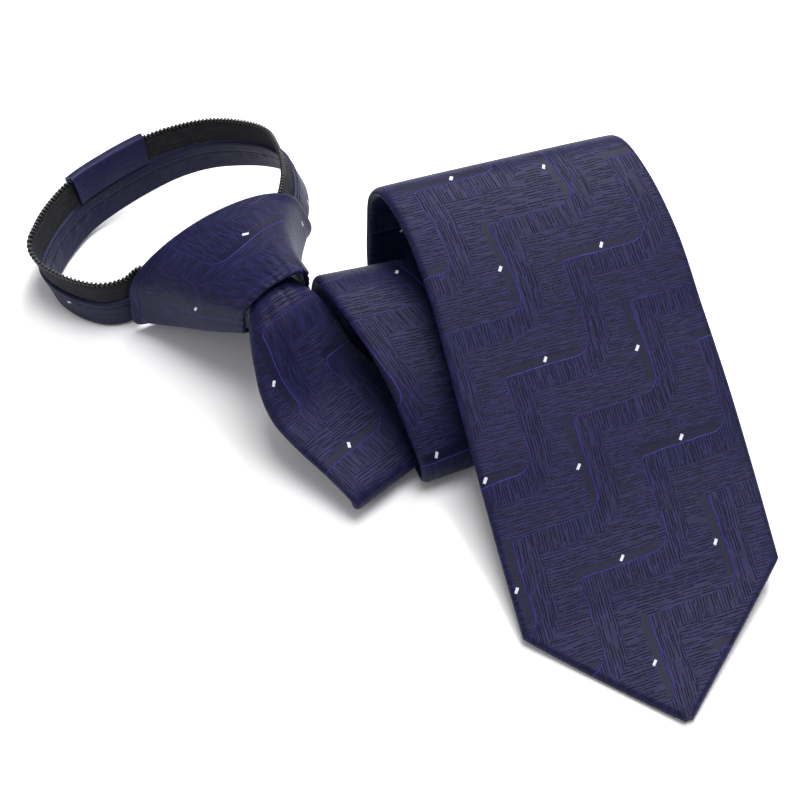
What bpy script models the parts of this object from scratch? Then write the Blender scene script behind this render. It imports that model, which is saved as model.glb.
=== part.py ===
import math

import bmesh
import bpy
import numpy as np

# Main sizes, metres. Side runs left to right, front runs towards the point, height is up
ROLL_LENGTH = 0.0785
ROLL_DEPTH = 0.0785
ROLL_HEIGHT = 0.0550
BLADE_WIDTH = 0.0800
BLADE_THICKNESS = 0.0030
POINT_LENGTH = 0.0380
POINT_SIDE = -0.0045
POINT_WIDTH = 0.0030
KNOT_WALL = 0.0015
STRAP_HEIGHT = 0.0112
STRAP_THICKNESS = 0.0024
TAPE_HEIGHT = 0.0078
TAPE_THICKNESS = 0.0010
TOOTH_HEIGHT = 0.0012
TOOTH_THICKNESS = 0.0017
TOOTH_PITCH = 0.0040
SLEEVE_WALL = 0.0008
GAP = 0.0003
# The origin's place on the roll's underside, a share of ROLL_DEPTH
ORIGIN_FRONT = 0.25

# Shapes of the sections: the knot's squareness (1 is an ellipse, near 0 a box), then shares of a
# thickness: the strap's corner, the teeth's low places, and the blade's edge where it is narrow
KNOT_SQUARENESS = 0.38
STRAP_CORNER = 0.4
TOOTH_LOW = 0.4
THIN_EDGE = 0.6
THIN_THICKNESS = 0.7
# Length over which the band's direction is read, metres
BAND_SIGHT = 0.002

# How finely the curved pieces are cut
STEPS_PER_ROW = 4
BLADE_COLUMNS = 5
KNOT_POINTS = 36
KNOT_STEPS = 4
BAND_STEP = 0.0035

# Blade, from inside the knot to the widest place: one row per place on its left edge.
# side, front, height: that place, shares of ROLL_LENGTH, ROLL_DEPTH and ROLL_HEIGHT
# turn and bank: degrees the section is turned in plan and its right edge is raised
# width and arch: shares of BLADE_WIDTH
BLADE_ROWS = (
    (-0.905, 0.020, 0.640, -24, 0, 0.196, 0.050),
    (-0.915, 0.095, 0.655, -24, 0, 0.238, 0.060),
    (-0.932, 0.180, 0.620, -24, 0, 0.310, 0.065),
    (-0.948, 0.270, 0.530, -25, 0, 0.380, 0.060),
    (-0.955, 0.360, 0.430, -26, 0, 0.430, 0.045),
    (-0.930, 0.450, 0.340, -27, 0, 0.470, 0.030),
    (-0.865, 0.560, 0.270, -28, 0, 0.490, 0.015),
    (-0.780, 0.690, 0.210, -28, 0, 0.500, 0.000),
    (-0.718, 0.795, 0.150, -28, 0, 0.510, 0.000),
    (-0.715, 0.785, 0.098, -28, 0, 0.520, 0.000),
    (-0.715, 0.600, 0.094, -24, 0, 0.530, 0.000),
    (-0.690, 0.300, 0.094, -14, 0, 0.560, 0.000),
    (-0.670, 0.050, 0.100, -4, 0, 0.590, 0.000),
    (-0.655, -0.050, 0.170, 0, 0, 0.610, 0.000),
    (-0.645, -0.105, 0.380, 1, 0, 0.630, 0.000),
    (-0.635, -0.080, 0.560, 1, 0, 0.650, 0.000),
    (-0.632, 0.035, 0.675, 1, 0, 0.665, 0.000),
    (-0.598, 0.170, 0.685, 0, 0, 0.685, 0.000),
    (-0.545, 0.320, 0.625, -2, 0, 0.705, 0.000),
    (-0.495, 0.500, 0.510, -4, 0, 0.735, 0.000),
    (-0.462, 0.655, 0.350, -6, 0, 0.765, 0.000),
    (-0.438, 0.735, 0.195, -7, 0, 0.785, 0.000),
    (-0.430, 0.705, 0.060, -8, 0, 0.795, 0.000),
    (-0.430, 0.580, 0.020, -7, 0, 0.805, 0.000),
    (-0.415, 0.300, 0.020, -5, 0, 0.840, 0.000),
    (-0.395, 0.000, 0.020, -3, 0, 0.880, 0.000),
    (-0.378, -0.170, 0.100, -2, 0, 0.905, 0.000),
    (-0.366, -0.280, 0.300, -1, 0, 0.930, 0.000),
    (-0.362, -0.292, 0.570, -1, 0, 0.946, 0.000),
    (-0.357, -0.264, 0.855, -1, 1, 0.962, 0.000),
    (-0.340, -0.150, 1.008, -1, 1, 0.971, 0.000),
    (-0.307, 0.020, 0.985, -1, 1, 0.974, 0.000),
    (-0.285, 0.270, 0.860, -1, 1, 0.985, 0.000),
    (-0.280, 0.560, 0.650, -2, 1, 0.995, 0.000),
    (-0.279, 0.860, 0.430, -2, 2, 1.000, 0.000),
    (-0.278, 1.150, 0.220, -2, 3, 0.995, 0.000),
    (-0.280, 1.495, 0.045, -2, 4, 0.972, 0.000),
)

# Knot, from the open rim at the back to the mouth: one row per section, its four corners,
# each as side, front, height in the same shares, then the crown of the top as a share of height
KNOT_ROWS = (
    (-1.310, -0.372, 0.440, -0.618, -0.500, 0.690, -0.510, -0.565, 0.195, -1.322, -0.372, 0.004, 0.135),
    (-1.205, -0.240, 0.530, -0.664, -0.355, 0.735, -0.592, -0.380, 0.270, -1.215, -0.245, 0.130, 0.115),
    (-1.080, -0.075, 0.630, -0.690, -0.170, 0.778, -0.656, -0.180, 0.430, -1.090, -0.080, 0.310, 0.08),
    (-0.958, 0.095, 0.725, -0.672, -0.005, 0.800, -0.664, -0.005, 0.570, -0.962, 0.095, 0.505, 0.06),
)

# Neck band, from inside the knot round the neck and back: one row per place on its lower edge,
# as side, front, height in the same shares, and lean: degrees its top leans outwards
BAND_ROWS = (
    (-0.930, -0.220, 0.200, 0),
    (-1.100, -0.360, 0.090, 0),
    (-1.260, -0.452, 0.025, 0),
    (-1.335, -0.435, 0.010, 4),
    (-1.412, -0.442, 0.006, 6),
    (-1.488, -0.490, 0.005, 8),
    (-1.550, -0.565, 0.005, 11),
    (-1.582, -0.640, 0.005, 15),
    (-1.586, -0.714, 0.005, 18),
    (-1.550, -0.786, 0.006, 19),
    (-1.500, -0.856, 0.012, 20),
    (-1.392, -0.966, 0.026, 19),
    (-1.268, -1.033, 0.054, 16),
    (-1.096, -1.090, 0.098, 13),
    (-0.959, -1.100, 0.154, 7),
    (-0.832, -1.078, 0.204, 3),
    (-0.718, -1.025, 0.252, -2),
    (-0.606, -0.946, 0.304, -10),
    (-0.540, -0.865, 0.335, -18),
    (-0.513, -0.742, 0.335, -21),
    (-0.532, -0.620, 0.312, -20),
    (-0.572, -0.545, 0.292, -17),
    (-0.635, -0.455, 0.272, -12),
    (-0.700, -0.340, 0.250, -6),
    (-0.790, -0.230, 0.200, 0),
)

# Where the band's pieces start and end, as numbers of rows along it
STRAP_SPAN = (2.0, 21.4)
LEFT_TAPE_SPAN = (0.0, 12.0)
RIGHT_TAPE_SPAN = (12.1, 24.0)
SLEEVE_SPAN = (11.0, 13.0)
BAND_STEPS_PER_ROW = 8

NAVY = (0.020, 0.020, 0.085, 1.0)
NAVY_STRAP = (0.022, 0.021, 0.080, 1.0)
ZIP_BLACK = (0.022, 0.024, 0.026, 1.0)
TOOTH_BLACK = (0.014, 0.015, 0.017, 1.0)


def smooth(rows, steps):
    """Rows joined by a smooth curve that passes through each of them."""
    rows = np.asarray(rows, float)
    ends = np.vstack([2 * rows[0] - rows[1], rows, 2 * rows[-1] - rows[-2]])
    reach = np.linalg.norm(np.diff(ends[:, :3], axis=0), axis=1) ** 0.5 + 1e-9
    out = []
    for i in range(1, len(ends) - 2):
        a, b, c, d = ends[i - 1:i + 3]
        ab, bc, cd = reach[i - 1:i + 2]
        leave = (c - b) + bc * ((b - a) / ab - (c - a) / (ab + bc))
        arrive = (c - b) + bc * ((d - c) / cd - (d - b) / (bc + cd))
        t = np.linspace(0, 1, steps, endpoint=False)[:, None]
        out.append((2 * b - 2 * c + leave + arrive) * t ** 3
                   + (3 * c - 3 * b - 2 * leave - arrive) * t ** 2 + leave * t + b)
    out.append(ends[-2][None])
    return np.vstack(out)


def place(side, front, height):
    """Shares of the roll's sizes turned into metres."""
    return np.stack([side * ROLL_LENGTH, (ORIGIN_FRONT - front) * ROLL_DEPTH, height * ROLL_HEIGHT], -1)


def unit(v):
    return v / np.linalg.norm(v, axis=-1, keepdims=True)


def add_object(name, verts, faces, colour, roughness, round_look=True):
    mesh = bpy.data.meshes.new(name)
    mesh.from_pydata([tuple(float(c) for c in v) for v in verts], [], faces)
    made = bmesh.new()
    made.from_mesh(mesh)
    bmesh.ops.recalc_face_normals(made, faces=made.faces)
    made.to_mesh(mesh)
    made.free()
    for face in mesh.polygons:
        face.use_smooth = round_look
    obj = bpy.data.objects.new(name, mesh)
    bpy.context.scene.collection.objects.link(obj)
    mat = bpy.data.materials.new(name + "_material")
    mat.use_nodes = True
    shader = mat.node_tree.nodes["Principled BSDF"]
    shader.inputs["Base Color"].default_value = colour
    shader.inputs["Roughness"].default_value = roughness
    shader.inputs["Metallic"].default_value = 0.0
    mesh.materials.append(mat)
    return obj


def skin(count, points, start=0, flip=False):
    """Faces that join a row of closed rings."""
    faces = []
    for i in range(count - 1):
        for j in range(points):
            k = (j + 1) % points
            face = [start + i * points + j, start + i * points + k,
                    start + (i + 1) * points + k, start + (i + 1) * points + j]
            faces.append(face[::-1] if flip else face)
    return faces


def solid_from_rings(name, rings, colour, roughness, round_look=True):
    rings = np.asarray(rings)
    count, points, _ = rings.shape
    faces = skin(count, points)
    faces.append(list(range(points))[::-1])
    faces.append([(count - 1) * points + j for j in range(points)])
    return add_object(name, rings.reshape(-1, 3), faces, colour, roughness, round_look)


def hollow_from_rings(name, outer, inner, colour, roughness):
    outer, inner = np.asarray(outer), np.asarray(inner)
    count, points, _ = outer.shape
    shift = count * points
    faces = skin(count, points) + skin(count, points, shift, True)
    for row, flip in ((0, True), (count - 1, False)):
        for j in range(points):
            k = (j + 1) % points
            face = [row * points + j, row * points + k, shift + row * points + k, shift + row * points + j]
            faces.append(face if flip else face[::-1])
    verts = np.vstack([outer.reshape(-1, 3), inner.reshape(-1, 3)])
    return add_object(name, verts, faces, colour, roughness)


def blade_ring(middle, across, outward, half, arch):
    """One closed section of the blade: flat faces, rounded edges, arched by the given rise."""
    edge = min(BLADE_THICKNESS / 2, half * THIN_EDGE)
    thick = BLADE_THICKNESS / 2 * (1 if half > BLADE_THICKNESS else THIN_THICKNESS)
    flat = np.linspace(-1, 1, BLADE_COLUMNS + 1) * (half - edge)
    corner = math.sin(math.pi / 4)
    side = half - edge + edge * corner
    x = np.concatenate([[-half, -side], flat, [side, half, side], flat[::-1], [-side]])
    up = np.ones_like(flat) * thick
    y = np.concatenate([[0, thick * corner], up, [thick * corner, 0, -thick * corner], -up, [-thick * corner]])
    y = y + arch * (1 - (x / half) ** 2)
    ring = middle + x[:, None] * across + y[:, None] * outward
    ring[:, 2] = np.maximum(ring[:, 2], 0.0)
    return ring


def blade_path():
    """Middle, across, outward, half width and arch at each cut of the blade."""
    rows = smooth(BLADE_ROWS, STEPS_PER_ROW)
    turn, bank = np.radians(rows[:, 3]), np.radians(rows[:, 4])
    across = np.stack([np.cos(turn) * np.cos(bank), -np.sin(turn) * np.cos(bank), np.sin(bank)], -1)
    half = rows[:, 5] * BLADE_WIDTH / 2
    middle = place(rows[:, 0], rows[:, 1], rows[:, 2]) + across * half[:, None]
    middle[:, 2] = np.maximum(middle[:, 2], BLADE_THICKNESS / 2)
    arch = rows[:, 6] * BLADE_WIDTH
    onward = np.array([across[-1][1], -across[-1][0], 0.0]) * POINT_LENGTH + np.array([POINT_SIDE, 0.0, 0.0])
    last = middle[-1]
    share = np.array([0.25, 0.5, 0.75, 1.0])
    drop = last[2] - BLADE_THICKNESS / 2 - GAP
    tail = last + onward * share[:, None]
    tail[:, 2] = last[2] - drop * share * (2 - share)
    tail_half = half[-1] + (POINT_WIDTH / 2 - half[-1]) * share
    middle = np.vstack([middle, tail])
    across = np.vstack([across, np.repeat(across[-1:], len(share), 0)])
    half = np.concatenate([half, tail_half])
    arch = np.concatenate([arch, 0 * share])
    outward = unit(np.cross(np.gradient(middle, axis=0), across))
    return middle, across, outward, half, arch


def build_blade():
    rings = [blade_ring(*cut) for cut in zip(*blade_path())]
    solid_from_rings("blade", rings, NAVY, 0.55)


def build_knot():
    rows = smooth(KNOT_ROWS, KNOT_STEPS)
    angle = np.linspace(0, 2 * math.pi, KNOT_POINTS, endpoint=False)
    a = np.sign(np.cos(angle)) * np.abs(np.cos(angle)) ** KNOT_SQUARENESS
    b = np.sign(np.sin(angle)) * np.abs(np.sin(angle)) ** KNOT_SQUARENESS
    outer = []
    for row in rows:
        left_top, right_top, right_low, left_low = (place(*row[i:i + 3]) for i in (0, 3, 6, 9))
        top = left_top + (right_top - left_top) * (a[:, None] + 1) / 2
        low = left_low + (right_low - left_low) * (a[:, None] + 1) / 2
        ring = low + (top - low) * (b[:, None] + 1) / 2
        ring[:, 2] += row[12] * ROLL_HEIGHT * (1 - a ** 2) * (b + 1) / 2
        outer.append(ring)
    outer = np.array(outer)
    along = np.gradient(outer.mean(1), axis=0)[:, None, :]
    around = np.roll(outer, -1, 1) - np.roll(outer, 1, 1)
    inward = unit(np.cross(unit(along), around))
    if ((outer.mean(1, keepdims=True) - outer) * inward).sum() < 0:
        inward = -inward
    hollow_from_rings("knot", outer, outer + inward * KNOT_WALL, NAVY, 0.55)


class Band:
    """The neck band's path, with points given by length along it, offset and height."""

    def __init__(self):
        rows = smooth(BAND_ROWS, BAND_STEPS_PER_ROW)
        low = place(rows[:, 0], rows[:, 1], rows[:, 2])
        steps = np.linalg.norm(np.diff(low, axis=0), axis=1)
        self.at = np.concatenate([[0], np.cumsum(steps)])
        self.low, self.lean = low, np.radians(rows[:, 3])

    def frame(self, s):
        low = np.stack([np.interp(s, self.at, self.low[:, i]) for i in range(3)], -1)
        ahead = np.stack([np.interp(s + BAND_SIGHT, self.at, self.low[:, i])
                          - np.interp(s - BAND_SIGHT, self.at, self.low[:, i]) for i in range(3)], -1)
        ahead[:, 2] = 0
        outward = unit(np.cross(np.array([0.0, 0.0, 1.0]), unit(ahead)))
        lean = np.interp(s, self.at, self.lean)[:, None]
        up = np.array([0.0, 0.0, 1.0])
        rise = np.cos(lean) * up + np.sin(lean) * outward
        flat = np.cos(lean) * outward - np.sin(lean) * up
        return low, flat, rise

    def rings(self, cuts, offset, height):
        low, flat, rise = self.frame(cuts)
        return low[:, None] + flat[:, None] * offset[..., None] + rise[:, None] * height[..., None]

    def cuts(self, span, step):
        start, end = np.interp(np.array(span) * BAND_STEPS_PER_ROW, np.arange(len(self.at)), self.at)
        count = max(3, int(round((end - start) / step)) + 1)
        return np.linspace(start, end, count)


def rounded_box(half, low, high, corner):
    """Corner points of a rounded upright section, as offsets and heights."""
    cut = corner * (1 - math.sin(math.pi / 4))
    x = np.array([half - corner, half - cut, half, half, half - cut, half - corner])
    y = np.array([low, low + cut, low + corner, high - corner, high - cut, high])
    return np.concatenate([x, -x[::-1]]), np.concatenate([y, y[::-1]])


def build_band_pieces():
    band = Band()
    cuts = band.cuts(STRAP_SPAN, BAND_STEP)
    x, y = rounded_box(STRAP_THICKNESS / 2, 0.0, STRAP_HEIGHT, STRAP_THICKNESS * STRAP_CORNER)
    solid_from_rings("neck_strap", band.rings(cuts, np.tile(x, (len(cuts), 1)),
                                              np.tile(y, (len(cuts), 1))), NAVY_STRAP, 0.6)
    tape_low = STRAP_HEIGHT + GAP
    tape_high = tape_low + TAPE_HEIGHT
    tooth_low = tape_high + GAP
    tooth_high = tooth_low + TOOTH_HEIGHT
    for side, span in (("left", LEFT_TAPE_SPAN), ("right", RIGHT_TAPE_SPAN)):
        cuts = band.cuts(span, BAND_STEP)
        half = TAPE_THICKNESS / 2
        x = np.tile([half, half, -half, -half], (len(cuts), 1))
        y = np.tile([tape_low, tape_high, tape_high, tape_low], (len(cuts), 1))
        solid_from_rings("zip_tape_" + side, band.rings(cuts, x, y), ZIP_BLACK, 0.8)
        cuts = band.cuts(span, TOOTH_PITCH / 2)
        half = TOOTH_THICKNESS / 2
        x = np.tile([half, half, -half, -half], (len(cuts), 1))
        crest = np.where(np.arange(len(cuts)) % 2 == 0, tooth_low + TOOTH_HEIGHT * TOOTH_LOW, tooth_high)
        low = np.full(len(cuts), tooth_low)
        y = np.stack([low, crest, crest, low], -1)
        solid_from_rings("zip_teeth_" + side, band.rings(cuts, x, y), TOOTH_BLACK, 0.45, False)
    cuts = band.cuts(SLEEVE_SPAN, BAND_STEP)
    inner = TOOTH_THICKNESS / 2 + GAP
    outer = inner + SLEEVE_WALL
    roof = tooth_high + GAP
    top = roof + SLEEVE_WALL
    cut = SLEEVE_WALL / 2
    x = [outer, outer, outer - cut, cut - outer, -outer, -outer, -inner, -inner, inner, inner]
    y = [tape_low, top - cut, top, top, top - cut, tape_low, tape_low, roof, roof, tape_low]
    tile = (len(cuts), 1)
    solid_from_rings("nape_sleeve", band.rings(cuts, np.tile(x, tile), np.tile(y, tile)), NAVY_STRAP, 0.6, False)


def main():
    for obj in list(bpy.data.objects):
        bpy.data.objects.remove(obj, do_unlink=True)
    build_blade()
    build_knot()
    build_band_pieces()


main()
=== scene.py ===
from functools import partial

import bpy
import numpy as np
from mathutils import Matrix


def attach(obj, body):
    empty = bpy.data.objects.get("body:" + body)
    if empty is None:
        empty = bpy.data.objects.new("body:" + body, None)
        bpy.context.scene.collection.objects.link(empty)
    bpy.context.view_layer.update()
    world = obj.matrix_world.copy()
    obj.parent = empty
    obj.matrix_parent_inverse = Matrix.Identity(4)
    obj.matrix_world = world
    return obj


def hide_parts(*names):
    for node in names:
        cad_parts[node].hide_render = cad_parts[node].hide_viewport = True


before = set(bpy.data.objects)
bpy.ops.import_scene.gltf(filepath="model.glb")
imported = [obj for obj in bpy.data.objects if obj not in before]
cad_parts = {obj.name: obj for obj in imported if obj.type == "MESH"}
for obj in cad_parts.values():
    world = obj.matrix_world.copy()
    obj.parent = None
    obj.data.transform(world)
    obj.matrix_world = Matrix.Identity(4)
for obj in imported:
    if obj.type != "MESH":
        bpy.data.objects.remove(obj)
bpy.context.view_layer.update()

# the rolled tie lies with its front to the camera; side runs left to right, front towards the point
roll = {"length": 0.0785, "depth": 0.0785, "height": 0.0550, "originFront": 0.25}


def place(side, front, height):
    # shares of the roll's length, depth and height, turned into metres
    return np.stack([side * roll["length"], (roll["originFront"] - front) * roll["depth"],
                     height * roll["height"]], -1)


def unit(v):
    return v / np.maximum(np.linalg.norm(v, axis=-1, keepdims=True), 1e-12)


def bell(x, middle, reach):
    # 1 at the middle, fading to nothing over about twice the reach
    return np.exp(-((x - middle) / reach) ** 2)


def smoothRows(rows, steps):
    # a smooth curve through every row, its pull set by the square root of the distance between rows
    rows = np.asarray(rows, float)
    ends = np.vstack([2 * rows[0] - rows[1], rows, 2 * rows[-1] - rows[-2]])
    reach = np.linalg.norm(np.diff(ends[:, :3], axis=0), axis=1) ** 0.5 + 1e-9
    out = []
    for i in range(1, len(ends) - 2):
        a, b, c, d = ends[i - 1:i + 3]
        ab, bc, cd = reach[i - 1:i + 2]
        leave = (c - b) + bc * ((b - a) / ab - (c - a) / (ab + bc))
        arrive = (c - b) + bc * ((d - c) / cd - (d - b) / (bc + cd))
        t = np.linspace(0, 1, steps, endpoint=False)[:, None]
        out.append((2 * b - 2 * c + leave + arrive) * t ** 3
                   + (3 * c - 3 * b - 2 * leave - arrive) * t ** 2 + leave * t + b)
    out.append(ends[-2][None])
    return np.vstack(out)


def lengthsAlong(points):
    return np.concatenate([[0], np.cumsum(np.linalg.norm(np.diff(points, axis=0), axis=1))])


def evenRows(rows, step):
    # the rows read again at equal lengths along their first three columns
    lengths = lengthsAlong(rows[:, :3])
    at = np.linspace(0, lengths[-1], int(round(lengths[-1] / step)) + 1)
    return at, np.stack([np.interp(at, lengths, column) for column in rows.T], -1)


def buildPiece(name, points, across, along, endPairs=None, closedAlong=False, sharp=50):
    # points[i, j] is place j round ring i; across and along, in mm, are the cloth's own place of
    # each, with one column more for where the ring closes. endPairs close the two ends in strips.
    rings, count, _ = points.shape
    i, j = np.meshgrid(np.arange(rings if closedAlong else rings - 1), np.arange(count), indexing="ij")
    i, j = i.ravel(), j.ravel()
    ni, nj = (i + 1) % rings, (j + 1) % count
    faces = np.stack([i * count + j, i * count + nj, ni * count + nj, ni * count + j], -1).tolist()
    cloth = np.stack([across, along], -1)
    corners = np.stack([cloth[i, j], cloth[i, j + 1], cloth[i + 1, j + 1], cloth[i + 1, j]], 1)
    corners = corners.reshape(-1, 2)
    if endPairs is not None:
        extra = []
        for ring, turned in ((0, True), (rings - 1, False)):
            for k in range(len(endPairs) - 1):
                face = list(dict.fromkeys([endPairs[k][0], endPairs[k + 1][0],
                                           endPairs[k + 1][1], endPairs[k][1]]))
                face = face[::-1] if turned else face
                faces.append([ring * count + p for p in face])
                extra += [cloth[ring, p] for p in face]
        corners = np.vstack([corners, extra])
    verts = points.reshape(-1, 3)
    mesh = bpy.data.meshes.new(name)
    mesh.from_pydata(verts.tolist(), [], faces)
    layer = mesh.uv_layers.new(name="cloth")
    layer.uv.foreach_set("vector", corners.astype(np.float32).ravel())
    mesh.polygons.foreach_set("use_smooth", np.ones(len(faces), bool))
    quads = verts[np.array([f[:3] for f in faces[:len(i)]])]
    if (np.cross(quads[:, 0], quads[:, 1]) * quads[:, 2]).sum() < 0:
        mesh.flip_normals()
    mesh.set_sharp_from_angle(angle=np.radians(sharp))
    mesh.validate()
    piece = bpy.data.objects.new(name, mesh)
    bpy.context.scene.collection.objects.link(piece)
    return piece


def finishPiece(piece, material, slot, *nodes):
    piece.data.materials.append(material)
    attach(piece, "root")
    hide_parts(*nodes)
    print(piece.name, "done:", len(piece.data.polygons), "faces")
    return piece


def roundRing(half, low, high, corner, sideCount, endCount):
    # an upright rounded strip's outline as offsets and heights, from the middle of its foot
    up = np.linspace(low + corner, high - corner, sideCount)
    turn = np.linspace(0, np.pi / 2, endCount + 1)[1:]
    foot = np.linspace(0, half - corner, 3)
    x = np.concatenate([foot, half - corner + corner * np.sin(turn), np.full(sideCount - 1, half)])
    y = np.concatenate([np.full(3, low), low + corner - corner * np.cos(turn), up[1:]])
    x = np.concatenate([x, half - corner + corner * np.cos(turn), foot[::-1]])
    y = np.concatenate([y, high - corner + corner * np.sin(turn), np.full(3, high)])
    x, y = x[1:-1], y[1:-1]
    x = np.concatenate([[0], x, [0], -x[::-1]])
    y = np.concatenate([[low], y, [high], y[::-1]])
    return x, y


def facingPairs(count, edge):
    # places at equal distance either way round from the edge place
    return [((edge - k) % count, (edge + k) % count) for k in range(count // 2 + 1)]


# materials
def hexColour(text):
    # sRGB hex to linear
    value = np.array([int(text[i:i + 2], 16) for i in (1, 3, 5)]) / 255
    linear = np.where(value <= 0.04045, value / 12.92, ((value + 0.055) / 1.055) ** 2.4)
    return (*[float(c) for c in linear], 1.0)


def addNode(tree, kind, inputs=(), out=0, **settings):
    # one node: its settings, then its sockets by order or name, each a value or a link
    made = tree.nodes.new("ShaderNode" + kind)
    for name, value in settings.items():
        setattr(made, name, value)
    for key, value in (inputs.items() if isinstance(inputs, dict) else enumerate(inputs)):
        if isinstance(value, bpy.types.NodeSocket):
            tree.links.new(value, made.inputs[key])
        elif value is not None:
            made.inputs[key].default_value = value
    return made.outputs[out]


def newMaterial(name, surface):
    # an empty material with its principled shader set from plain values
    material = bpy.data.materials.new(name)
    material.use_nodes = True
    tree = material.node_tree
    shader = tree.nodes["Principled BSDF"]
    for key, value in surface.items():
        shader.inputs[key].default_value = value
    return material, tree, shader


# jacquard: the stepped line drops by run and drop, the next one of its kind lies at nextLine,
# and the other kind half way between; all in mm along the two skewed ways of the weave
jacquard = {"run": 28.4, "drop": 28.1, "nextLine": (30.64, 34.38), "lean": 0.06, "rise": 0.045,
            "tightCorner": 1.9, "wideCorner": 5.5, "rankShift": 0.22, "ribbon": 6.8, "shadow": 2.6,
            "softEdge": 0.5, "lineMiddle": 0.22, "lineHalf": (0.06, 0.24), "acrossDash": (13.8, -1.6),
            "alongDash": (-2.6, 14.3), "dashTurn": 38, "dashHalf": (0.44, 0.94)}
# short grooves of the weave: pitch and length in mm and a seed for each way, then shares of a pitch
hatch = {"lengthwise": (0.86, 8.0, 1.0), "crosswise": (0.94, 4.6, 5.0), "stray": 0.5, "half": 0.11,
         "halfVaries": 0.08, "missing": 0.10}


def hatchLines(add, rowPlace, alongPlace, pitch, dashLength, seed):
    # rows of short grooves: each row broken into dashes of random place, width and presence
    rows = add("Math", (rowPlace, 1 / pitch), operation="MULTIPLY")
    rowNumber = add("Math", (rows,), operation="FLOOR")
    within = add("Math", (rows, rowNumber), operation="SUBTRACT")
    rowShift = add("TexWhiteNoise", {"W": rowNumber}, noise_dimensions="1D")
    rowShift = add("Math", (rowShift, 17.0 + seed), operation="MULTIPLY")
    reach = add("Math", (alongPlace, 1 / dashLength, rowShift), operation="MULTIPLY_ADD")
    dashNumber = add("Math", (reach,), operation="FLOOR")
    passed = add("Math", (reach, dashNumber), operation="SUBTRACT")
    key = add("CombineXYZ", (rowNumber, dashNumber, seed))
    chance = add("TexWhiteNoise", (key,), out="Color", noise_dimensions="3D")
    chance = add("SeparateXYZ", (chance,)).node.outputs
    stray = hatch["stray"]
    middle = add("Math", (chance[0], stray, (1 - stray) / 2), operation="MULTIPLY_ADD")
    gap = add("Math", (within, middle), operation="SUBTRACT")
    gap = add("Math", (gap,), operation="ABSOLUTE")
    half = add("Math", (chance[1], hatch["halfVaries"], hatch["half"]), operation="MULTIPLY_ADD")
    depth = add("Math", (gap, half), operation="DIVIDE")
    depth = add("Math", (1.0, depth), operation="SUBTRACT", use_clamp=True)
    rest = add("Math", (1.0, passed), operation="SUBTRACT")
    taper = add("Math", (passed, rest), operation="MULTIPLY")
    taper = add("Math", (taper, 9.0), operation="MULTIPLY", use_clamp=True)
    shown = add("Math", (chance[2], hatch["missing"]), operation="GREATER_THAN")
    depth = add("Math", (depth, taper), operation="MULTIPLY")
    return add("Math", (depth, shown), operation="MULTIPLY")


def steppedLine(add, weave, start):
    # signed distance to one family of stepped lines, positive on its lower right side.
    # The area under a line is a union of quarter planes, one for each tight corner.
    step = np.array([-jacquard["run"], jacquard["drop"]])
    side = np.array([jacquard["drop"], jacquard["run"]])
    after = np.array(jacquard["nextLine"])
    at = add("VectorMath", (weave, (*start, 0)), operation="SUBTRACT")
    rank = add("VectorMath", (at, (*(side / (side @ after)), 0)), out="Value", operation="DOT_PRODUCT")
    rank = add("Math", (rank, jacquard["rankShift"]), operation="ADD")
    rank = add("Math", (rank,), operation="FLOOR")
    shift = add("VectorMath", {0: (*after, 0), "Scale": rank}, operation="SCALE")
    at = add("VectorMath", (at, shift), operation="SUBTRACT")
    rank = add("VectorMath", (at, (*(step / (step @ step)), 0)), out="Value", operation="DOT_PRODUCT")
    rank = add("Math", (rank,), operation="FLOOR")
    shift = add("VectorMath", {0: (*step, 0), "Scale": rank}, operation="SCALE")
    upper = add("VectorMath", (at, shift), operation="SUBTRACT")
    lower = add("VectorMath", (upper, (*step, 0)), operation="SUBTRACT")
    tight, wide = jacquard["tightCorner"], jacquard["wideCorner"]
    reach = []
    for corner in (upper, lower):
        inward = add("VectorMath", ((tight, tight, 0), corner), operation="SUBTRACT")
        cut = add("VectorMath", (inward, (0, 0, 0)), operation="MAXIMUM")
        cut = add("VectorMath", (cut,), out="Value", operation="LENGTH")
        parts = add("SeparateXYZ", (inward,)).node.outputs
        flat = add("Math", (parts[0], parts[1]), operation="MAXIMUM")
        flat = add("Math", (flat, 0.0), operation="MINIMUM")
        deep = add("Math", (tight, cut), operation="SUBTRACT")
        reach.append(add("Math", (deep, flat), operation="SUBTRACT"))
    near = add("CombineXYZ", (reach[0], reach[1], -wide))
    near = add("VectorMath", (near, (wide, wide, wide)), operation="ADD")
    near = add("VectorMath", (near, (0, 0, 0)), operation="MAXIMUM")
    near = add("VectorMath", (near,), out="Value", operation="LENGTH")
    most = add("Math", (reach[0], reach[1]), operation="MAXIMUM")
    most = add("Math", (most, -1.0), operation="MULTIPLY")
    most = add("Math", (most, wide), operation="MAXIMUM")
    distance = add("Math", (near, most), operation="SUBTRACT")
    return distance, upper, lower


def dashMark(add, corner, centre):
    # a short bright float of yarn, leaning to the right
    turn = np.radians(jacquard["dashTurn"])
    halfWidth, halfLength = jacquard["dashHalf"]
    at = add("VectorMath", (corner, (*centre, 0)), operation="SUBTRACT")
    wide = add("VectorMath", (at, (np.cos(turn) / halfWidth, np.sin(turn) / halfWidth, 0)),
               out="Value", operation="DOT_PRODUCT")
    long = add("VectorMath", (at, (-np.sin(turn) / halfLength, np.cos(turn) / halfLength, 0)),
               out="Value", operation="DOT_PRODUCT")
    wide = add("Math", (wide,), operation="ABSOLUTE")
    long = add("Math", (long,), operation="ABSOLUTE")
    most = add("Math", (wide, long), operation="MAXIMUM")
    return add("MapRange", (most, 0.88, 1.05, 1.0, 0.0))


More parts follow.
